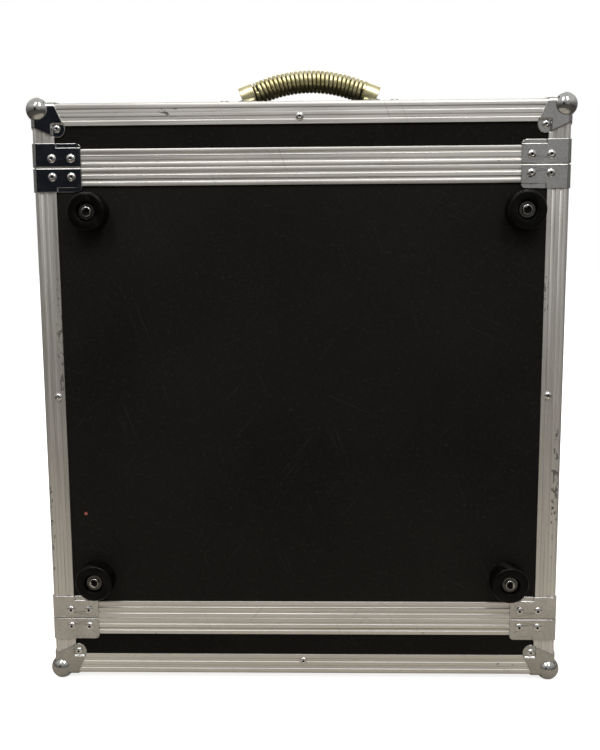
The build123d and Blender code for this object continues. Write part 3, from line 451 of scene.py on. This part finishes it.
def turned(name, profile, segments):
    # A round piece: a circle pushed out ring by ring along Z, open at its first ring
    bpy.ops.object.select_all(action="DESELECT")
    radius, height = profile[0]
    bpy.ops.mesh.primitive_circle_add(vertices=segments, radius=radius, location=(0, 0, height))
    piece = bpy.context.object
    piece.name = piece.data.name = name
    bpy.ops.object.transform_apply(location=True, rotation=True, scale=True)
    bpy.ops.object.mode_set(mode="EDIT")
    bpy.ops.mesh.select_all(action="SELECT")
    for next_radius, next_height in profile[1:]:
        bpy.ops.mesh.extrude_region_move(TRANSFORM_OT_translate={"value": (0, 0, next_height - height)})
        next_radius = max(next_radius, least_radius)
        scale = next_radius / radius
        bpy.ops.transform.resize(value=(scale, scale, 1), center_override=(0, 0, next_height))
        radius, height = next_radius, next_height
    if radius <= least_radius:
        bpy.ops.mesh.merge(type="CENTER")
    bpy.ops.mesh.select_all(action="SELECT")
    bpy.ops.mesh.normals_make_consistent(inside=False)
    bpy.ops.object.mode_set(mode="OBJECT")
    bpy.ops.object.shade_smooth_by_angle(angle=turned_smooth)
    return piece


def islands(node):
    # Lowest and highest corner of each separate solid in a CAD node, in order of place
    shape = bmesh.new()
    shape.from_mesh(nodes[node].data)
    bmesh.ops.remove_doubles(shape, verts=shape.verts, dist=merge_distance)
    waiting = set(shape.verts)
    found = []
    while waiting:
        front = [waiting.pop()]
        members = []
        while front:
            vertex = front.pop()
            members.append(vertex.co.copy())
            for edge in vertex.link_edges:
                other = edge.other_vert(vertex)
                if other in waiting:
                    waiting.discard(other)
                    front.append(other)
        found.append((Vector(map(min, *members)), Vector(map(max, *members))))
    shape.free()
    return sorted(found, key=lambda corners: tuple(corners[0]))


middle = (cad_low + cad_high) / 2


def facing(low, high):
    # The long axis of a rivet, the sign of its outward end and its centre
    size = high - low
    axis = max(range(3), key=lambda index: size[index])
    centre = (low + high) / 2
    sign = 1 if centre[axis] > middle[axis] else -1
    return axis, sign, centre


def stood_at(pattern, name, seats):
    # Copies of a turned piece, each with its axis along a face's normal, joined in one mesh
    built = bmesh.new()
    for point, outward in seats:
        stand = Matrix.Translation(point) @ outward.to_track_quat("Z", "Y").to_matrix().to_4x4()
        single = pattern.data.copy()
        single.transform(stand)
        built.from_mesh(single)
        bpy.data.meshes.remove(single)
    mesh = bpy.data.meshes.new(name)
    built.to_mesh(mesh)
    built.free()
    for material in pattern.data.materials:
        mesh.materials.append(material)
    piece = bpy.data.objects.new(name, mesh)
    bpy.context.collection.objects.link(piece)
    bpy.data.objects.remove(pattern)
    select_only(piece)
    bpy.ops.object.shade_smooth_by_angle(angle=turned_smooth)
    return piece


def joined(name, pieces):
    # Several pieces made one, under the name given
    select_only(pieces[0])
    for piece in pieces:
        piece.select_set(True)
    bpy.ops.object.join()
    pieces[0].name = pieces[0].data.name = name
    return pieces[0]


rivet_steel = plating("rivet_steel", (0.70, 0.70, 0.69, 1), (0.82, 0.82, 0.81, 1),
                      rough_low=0.12, rough_high=0.24, wave=0.0002)
# The rivet bores and the screw sockets are painted near black: painted shade in the holes
painted_bore_shade, tree, shader, place = new_material("painted_bore_shade")
shade = add(tree, "TexNoise", {"Vector": place, "Scale": 900.0}).outputs[0]
colour = mixed(tree, shade, (0.002, 0.002, 0.002, 1), (0.012, 0.010, 0.008, 1))
put(tree, shader, Base_Color=colour, Roughness=0.8, Specular_IOR_Level=0.1)
# The head from its foot over the dome into the bore: share of its radius and height
dome, bore_share = 0.0018, 0.325
head_profile = ((0.5, -0.0006), (0.97, -0.0001), (1, 0.0002), (0.985, 0.0005), (0.90, 0.0009),
                (0.76, 0.00133), (0.58, 0.00164), (0.42, 0.00178), (0.35, 0.00178), (0.31, 0.00165),
                (0.30, 0.0012), (0.30, 0.0002), (0, 0.0002))
for body, prefix in owners:
    node = prefix + "_rivets"
    by_size = {}
    for low, high in islands(node):
        axis, sign, centre = facing(low, high)
        outward = Vector([sign if index == axis else 0 for index in range(3)])
        point = centre.copy()
        point[axis] = (high if sign > 0 else low)[axis] - sign * dome
        head = round(max((high - low)[index] for index in range(3) if index != axis) / 2, 5)
        by_size.setdefault(head, []).append((point, outward))
    groups = []
    for head, seats in by_size.items():
        pattern = turned("rivet", [(head * share, height) for share, height in head_profile], segments=28)
        for material in (rivet_steel, painted_bore_shade):
            pattern.data.materials.append(material)
        for face in pattern.data.polygons:
            face.material_index = int(math.hypot(face.center.x, face.center.y) < head * bore_share)
        groups.append(stood_at(pattern, "rivets", seats))
    rivets = joined(prefix + "_rivet_heads", groups)
    settle(rivets, body, [], [node])


# Rubber feet: four moulded cones with a rounded rim and a deep recess, each held by a steel
# washer and a socket screw; satin black with light scratches.
rubber, tree, shader, place = new_material("foot_rubber")
fine = add(tree, "TexNoise", {"Vector": place, "Scale": 900.0, "Detail": 3.0}).outputs[0]
cloud = add(tree, "TexNoise", {"Vector": place, "Scale": 70.0, "Detail": 4.0}).outputs[0]
scratch = placed(tree, scratch_group, {"Vector": place, "Scale": 120.0, "Amount": 0.7})
colour = mixed(tree, mask(tree, cloud, 0.45, 0.75), (0.0022, 0.0020, 0.0018, 1), (0.0060, 0.0056, 0.0050, 1))
colour = mixed(tree, maths(tree, "MULTIPLY", scratch, 0.3), colour, (0.05, 0.048, 0.045, 1))
rough = mask(tree, fine, 0.3, 0.7, 0.26, 0.36)
put(tree, shader, Base_Color=colour, Roughness=rough, Specular_IOR_Level=0.10)
bump(tree, shader, maths(tree, "ADD", fine, cloud), strength=0.2, distance=0.0002)
feet = copy_of("feet", "rubber_feet")
round_edges(feet, width=0.0003, sharp=50)
recess_depth, socket_reach, outward = 0.006, 0.0028, Vector((0, -1, 0))
feet_seats = [Vector(((low.x + high.x) / 2, low.y, (low.z + high.z) / 2))
              for low, high in islands("rubber_feet")]
# A raised ring moulded in the floor of each recess: radius and height
ring_profile = ((0.0084, -0.0002), (0.0086, 0.0008), (0.0090, 0.0012), (0.0094, 0.0008), (0.0096, -0.0002))
rings = stood_at(turned("ring", ring_profile, segments=48), "rings",
                 [(seat - recess_depth * outward, outward) for seat in feet_seats])
feet = joined("feet", [feet, rings])
settle(feet, "case_body", [rubber], ["rubber_feet"])
washer_steel = plating("washer_steel", (0.06, 0.058, 0.055, 1), (0.13, 0.125, 0.12, 1),
                       rough_low=0.2, rough_high=0.35, wave=0.0002)
washers = copy_of("washers", "foot_washers")
round_edges(washers, width=0.0003)
settle(washers, "case_body", [washer_steel], ["foot_washers"])
screws = copy_of("screws", "foot_screws")
# Faces close to each foot's axis form the socket and get the near-black finish: painted shade in the socket
for face in screws.data.polygons:
    inside = min(math.hypot(face.center.x - seat.x, face.center.z - seat.z) for seat in feet_seats)
    face.material_index = int(inside < socket_reach)
round_edges(screws, width=0.00012)
settle(screws, "case_body", [worn_plating, painted_bore_shade], ["foot_screws"])


# Carrying handle: a yellow-zinc coil spring drawn over a rubber core, with a smooth sleeve at each
# end and steel straps bolted under two clamps on the front lid.
zinc, tree, shader, place = new_material("yellow_zinc")
cloud = add(tree, "TexNoise", {"Vector": place, "Scale": 60.0, "Detail": 3.0}).outputs[0]
fine = add(tree, "TexNoise", {"Vector": place, "Scale": 800.0, "Detail": 3.0}).outputs[0]
hue = add(tree, "TexNoise", {"Vector": place, "Scale": 22.0, "Detail": 2.0}).outputs[0]
colour = mixed(tree, mask(tree, cloud, 0.35, 0.7), (0.58, 0.52, 0.26, 1), (0.80, 0.74, 0.48, 1))
colour = mixed(tree, mask(tree, hue, 0.5, 0.7, 0.0, 0.5), colour, (0.56, 0.60, 0.30, 1))
colour = mixed(tree, mask(tree, fine, 0.62, 0.75, 0.0, 0.6), colour, (0.10, 0.085, 0.05, 1))
put(tree, shader, Base_Color=colour, Roughness=mask(tree, fine, 0.3, 0.7, 0.28, 0.46), Metallic=1.0)
bump(tree, shader, fine, strength=0.2, distance=0.0002)
spring_low, spring_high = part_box("handle_spring")
grip_radius = (spring_high.y - spring_low.y) / 2
wire, turns = 0.0035, 26
bend, half_angle, straight, ferrule, end_gap = 0.138, math.radians(20.2), 0.025, 0.0145, 0.0003
grip_middle = Vector(((spring_low.x + spring_high.x) / 2, (spring_low.y + spring_high.y) / 2,
                      spring_high.z - grip_radius))
half_run = bend * half_angle + straight - ferrule - end_gap - wire / 2


def along_grip(run):
    # Centre line of the grip and its direction at a distance from the middle
    bent = min(abs(run), bend * half_angle)
    rest = abs(run) - bent
    angle = bent / bend
    side = math.copysign(1, run)
    x = bend * math.sin(angle) + rest * math.cos(angle)
    drop = bend * (1 - math.cos(angle)) + rest * math.sin(angle)
    return grip_middle + Vector((side * x, 0, -drop)), Vector((math.cos(angle), 0, -side * math.sin(angle)))


bpy.ops.object.select_all(action="DESELECT")
wire_sides, turn_steps, wire_width, wire_squareness = 16, 40, 0.0037, 0.65
bpy.ops.mesh.primitive_circle_add(vertices=wire_sides, radius=1, rotation=(math.pi / 2, 0, 0))
coil = bpy.context.object
coil.name = coil.data.name = "grip_spring"
bpy.ops.object.transform_apply(location=True, rotation=True, scale=True)
for vertex in coil.data.vertices:
    # The wire is drawn a little flat: wider along the grip than through it
    flat_x = math.copysign(abs(vertex.co.x) ** wire_squareness, vertex.co.x)
    flat_z = math.copysign(abs(vertex.co.z) ** wire_squareness, vertex.co.z)
    vertex.co = (grip_radius - wire / 2 + flat_x * wire / 2, 0, flat_z * wire_width / 2)
screw = coil.modifiers.new("turns", "SCREW")
screw.axis = "Z"
screw.angle = 2 * math.pi
screw.iterations = turns
screw.screw_offset = 1.0
screw.steps = screw.render_steps = turn_steps
screw.use_merge_vertices = False
apply_modifiers(coil)
side_way = Vector((0, -1, 0))
for vertex in coil.data.vertices:
    # The screw's height counts turns; it becomes a place along the bent grip, and what is left
    # over is the place across the wire
    radius = math.hypot(vertex.co.x, vertex.co.y)
    fraction = math.atan2(vertex.co.y, vertex.co.x) / (2 * math.pi) % 1
    turn_at = fraction + round(vertex.co.z - fraction)
    aside = vertex.co.z - turn_at
    centre, way = along_grip((2 * turn_at / turns - 1) * half_run)
    up_way = way.cross(side_way)
    turn = 2 * math.pi * fraction
    vertex.co = centre + way * aside + (side_way * math.cos(turn) + up_way * math.sin(turn)) * radius
select_only(coil)
bpy.ops.object.mode_set(mode="EDIT")
bpy.ops.mesh.select_all(action="SELECT")
bpy.ops.mesh.fill_holes(sides=wire_sides)
bpy.ops.mesh.normals_make_consistent(inside=False)
bpy.ops.object.mode_set(mode="OBJECT")
bpy.ops.object.shade_smooth()
# A flat closed turn beside each sleeve, as wide along the grip as twice its reach
ring_reach, ring_segments, ring_sides = 0.0012, 64, 12
end_rings = []
for end in (-1, 1):
    centre, way = along_grip(end * (half_run + wire / 2 - ring_reach))
    bpy.ops.object.select_all(action="DESELECT")
    bpy.ops.mesh.primitive_torus_add(major_segments=ring_segments, minor_segments=ring_sides,
                                     major_radius=grip_radius - wire / 2, minor_radius=wire / 2,
                                     location=(0, 0, 0))
    ring = bpy.context.object
    ring.name = ring.data.name = "end_ring"
    flat = Matrix.Diagonal((1, 1, 2 * ring_reach / wire, 1))
    across = way.to_track_quat("Z", "Y").to_matrix().to_4x4()
    ring.data.transform(Matrix.Translation(centre) @ across @ flat)
    bpy.ops.object.shade_smooth()
    end_rings.append(ring)
coil = joined("grip_spring", [coil] + end_rings)
settle(coil, "front_lid", [zinc], ["handle_spring"])
sleeves = copy_of("grip_sleeves", "handle_ferrules")
round_edges(sleeves, width=0.0006, segments=3)
settle(sleeves, "front_lid", [zinc], ["handle_ferrules"])
for node, name in (("handle_brackets", "handle_feet"), ("handle_straps", "strap_ends")):
    piece = copy_of(name, node)
    round_edges(piece, width=0.0005)
    settle(piece, "front_lid", [bracket_plating], [node])
bolts = copy_of("handle_bolt_heads", "handle_bolts")
round_edges(bolts, width=0.0002)
settle(bolts, "front_lid", [rivet_steel], ["handle_bolts"])
core_rubber, tree, shader, place = new_material("core_rubber")
rib = add(tree, "TexNoise", {"Vector": place, "Scale": 300.0, "Detail": 3.0}).outputs[0]
put(tree, shader, Base_Color=mixed(tree, rib, (0.004, 0.0035, 0.003, 1), (0.014, 0.012, 0.01, 1)),
    Roughness=mask(tree, rib, 0.3, 0.7, 0.55, 0.75))
bump(tree, shader, rib, strength=0.3, distance=0.0003)
faced("handle_core", core_rubber)


# Turn latches: a pressed dish let into the case side, a turning post with a butterfly grip, and a
# hook plate that reaches over the joint to a keeper in the lid.
latch_plating = plating("latch_plating", (0.52, 0.52, 0.51, 1), (0.62, 0.62, 0.61, 1),
                        rough_low=0.16, rough_high=0.32, wave=0.0003)
for body, prefix in owners:
    node = prefix + "_latch_dishes"
    dishes = copy_of(prefix + "_dishes", node)
    round_edges(dishes, width=0.0003)
    settle(dishes, body, [bracket_plating], [node])
for place_name in ("left_front", "right_front", "left_rear", "right_rear"):
    for kind in ("cam", "wing_a", "wing_b", "hook"):
        node = "latch_" + kind + "_" + place_name
        piece = copy_of(kind + "_" + place_name, node)
        round_edges(piece, width=0.0002)
        settle(piece, node, [latch_plating], [node])


# Rack rails: folded steel angles with the rack hole pattern, black powder coated, scratched
# bright in places, bolted to the inner legs of the side sections.
powder, tree, shader, place = new_material("rail_powder")
peel = add(tree, "TexNoise", {"Vector": place, "Scale": 700.0, "Detail": 2.0}).outputs[0]
scratch = placed(tree, scratch_group, {"Vector": place, "Scale": 90.0, "Amount": 1.0})
colour = mixed(tree, mask(tree, peel, 0.3, 0.7), (0.012, 0.012, 0.013, 1), (0.022, 0.022, 0.023, 1))
colour = mixed(tree, scratch, colour, (0.25, 0.25, 0.25, 1))
put(tree, shader, Base_Color=colour, Roughness=mask(tree, peel, 0.3, 0.7, 0.38, 0.5))
bump(tree, shader, peel, strength=0.3, distance=0.0002)
for node in ("front_rail_left", "front_rail_right", "rear_rail_left", "rear_rail_right"):
    rails = copy_of(node + "_folded", node)
    round_edges(rails, width=0.0003)
    settle(rails, "case_body", [powder], [node])
bolts = copy_of("rail_bolt_heads", "rail_bolts")
round_edges(bolts, width=0.0002)
settle(bolts, "case_body", [rivet_steel], ["rail_bolts"])


# Foam pads: a sheet of dark open-cell foam glued inside each lid, softly rounded at its cut
# edges and a little uneven where gear has pressed it.
foam_cells, tree, shader, place = new_material("foam_cells")
cell = add(tree, "TexVoronoi", {"Vector": place, "Scale": 700.0}).outputs["Distance"]
cloud = add(tree, "TexNoise", {"Vector": place, "Scale": 12.0, "Detail": 3.0}).outputs[0]
colour = mixed(tree, mask(tree, cell, 0.1, 0.6), (0.008, 0.008, 0.009, 1), (0.045, 0.045, 0.048, 1))
colour = mixed(tree, mask(tree, cloud, 0.5, 0.75, 0.0, 0.4), colour, (0.06, 0.058, 0.055, 1))
put(tree, shader, Base_Color=colour, Roughness=0.95, Specular_IOR_Level=0.15)
bump(tree, shader, cell, strength=0.8, distance=0.0006)
cut_round, dent_count, dent_depth = 0.0025, 16, 0.0007
random.seed(11)
for body in ("front_lid", "rear_lid"):
    low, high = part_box(body + "_foam")
    size, centre = high - low, (low + high) / 2
    bpy.ops.object.select_all(action="DESELECT")
    bpy.ops.mesh.primitive_cube_add(size=1, location=centre, scale=size)
    pad = bpy.context.object
    pad.name = pad.data.name = body + "_foam_pad"
    bpy.ops.object.transform_apply(location=True, rotation=True, scale=True)
    bpy.ops.object.mode_set(mode="EDIT")
    bpy.ops.mesh.select_all(action="SELECT")
    bpy.ops.mesh.bevel(offset=cut_round, segments=4, affect="EDGES")
    bpy.ops.mesh.select_all(action="SELECT")
    bpy.ops.mesh.subdivide(number_cuts=24)
    bpy.ops.object.mode_set(mode="OBJECT")
    open_side = low.z if body == "front_lid" else high.z
    inward = 1 if body == "front_lid" else -1
    dents = [(random.uniform(low.x, high.x), random.uniform(low.y, high.y), random.uniform(0.02, 0.06))
             for _ in range(dent_count)]
    for vertex in pad.data.vertices:
        if abs(vertex.co.z - open_side) < cut_round:
            depth = 0.0
            for x, y, reach in dents:
                away = math.hypot(vertex.co.x - x, vertex.co.y - y) / reach
                depth = max(depth, dent_depth * math.exp(-away * away))
            vertex.co.z += inward * depth
    bpy.ops.object.shade_smooth_by_angle(angle=math.radians(60))
    settle(pad, body, [foam_cells], [body + "_foam"])


# Studio: a floor that is white to the camera, and in the reflections tan near the case and dark
# further off, soft ceiling lights, and behind the camera a dark and a grey board.
floor_white, tree, shader, place = new_material("floor_white")
ray = add(tree, "LightPath").outputs
from_case = add(tree, "VectorMath", {0: place}, operation="LENGTH").outputs["Value"]
near_floor, far_floor, seen_floor = (0.49, 0.445, 0.378, 1), (0.08, 0.071, 0.061, 1), grey(0.9)
reflected = mixed(tree, mask(tree, from_case, 0.50, 0.85), near_floor, far_floor)
put(tree, shader, Base_Color=mixed(tree, ray["Is Camera Ray"], reflected, seen_floor), Roughness=0.9,
    Emission_Color=grey(1.0), Emission_Strength=maths(tree, "MULTIPLY", ray["Is Camera Ray"], 0.8))
bpy.ops.object.select_all(action="DESELECT")
bpy.ops.mesh.primitive_circle_add(vertices=96, radius=14, fill_type="NGON", location=(0, 0, 0))
floor = bpy.context.object
floor.name = "floor"
floor.data.materials.append(floor_white)


def board(name, centre, width, height, colour, strength):
    # An even glow behind the camera, seen only in reflections
    bpy.ops.object.select_all(action="DESELECT")
    bpy.ops.mesh.primitive_plane_add(size=1, location=centre, rotation=(math.pi / 2, 0, 0))
    made = bpy.context.object
    made.name = name
    made.scale = (width, height, 1)
    material = bpy.data.materials.new(name)
    material.use_nodes = True
    tree = material.node_tree
    tree.nodes.clear()
    glow = add(tree, "Emission", {"Color": colour, "Strength": strength})
    out = add(tree, "OutputMaterial")
    tree.links.new(glow.outputs[0], out.inputs[0])
    made.data.materials.append(material)
    made.visible_camera = made.visible_diffuse = made.visible_shadow = False


board("dark_board", (-1.15, -3.0, 0.95), width=1.1, height=1.25, colour=(0.02, 0.023, 0.032, 1), strength=0.6)
board("grey_board", (1.05, -3.0, 0.95), width=1.1, height=1.25, colour=(0.34, 0.335, 0.33, 1), strength=1.0)


def soft_light(name, place, target, width, height, power, colour):
    lamp = bpy.data.lights.new(name, "AREA")
    lamp.shape = "RECTANGLE"
    lamp.size, lamp.size_y = width, height
    lamp.energy = power
    lamp.color = colour
    held = bpy.data.objects.new(name, lamp)
    bpy.context.collection.objects.link(held)
    way = Vector(target) - Vector(place)
    held.matrix_world = Matrix.Translation(place) @ way.to_track_quat("-Z", "Y").to_matrix().to_4x4()


warm, white, case_middle = (1, 0.985, 0.96), (1, 1, 1), (0, 0, 0.35)
soft_light("ceiling_left", (-0.7, -1.3, 2.3), case_middle, width=0.5, height=1.1, power=15, colour=warm)
soft_light("ceiling_right", (0.6, -1.4, 2.3), case_middle, width=0.5, height=1.1, power=18, colour=warm)
soft_light("back_fill", (0.0, 2.4, 1.8), (0, 0, 0.3), width=1.6, height=1.0, power=13, colour=white)

# The room's own light, brighter overhead than at the walls, and white to the camera
world = bpy.data.worlds.new("studio")
bpy.context.scene.world = world
world.use_nodes = True
tree = world.node_tree
tree.nodes.clear()
direction = add(tree, "TexCoord").outputs["Generated"]
upward = add(tree, "SeparateXYZ", {"Vector": direction}).outputs["Z"]
room = mixed(tree, mask(tree, upward, 0.1, 0.55), (0.18, 0.175, 0.17, 1), (0.66, 0.65, 0.63, 1))
seen = add(tree, "LightPath").outputs["Is Camera Ray"]
sky = mixed(tree, seen, room, grey(1.0))
glow = add(tree, "Background", {"Color": sky, "Strength": 1.0})
out = add(tree, "OutputWorld")
tree.links.new(glow.outputs[0], out.inputs[0])
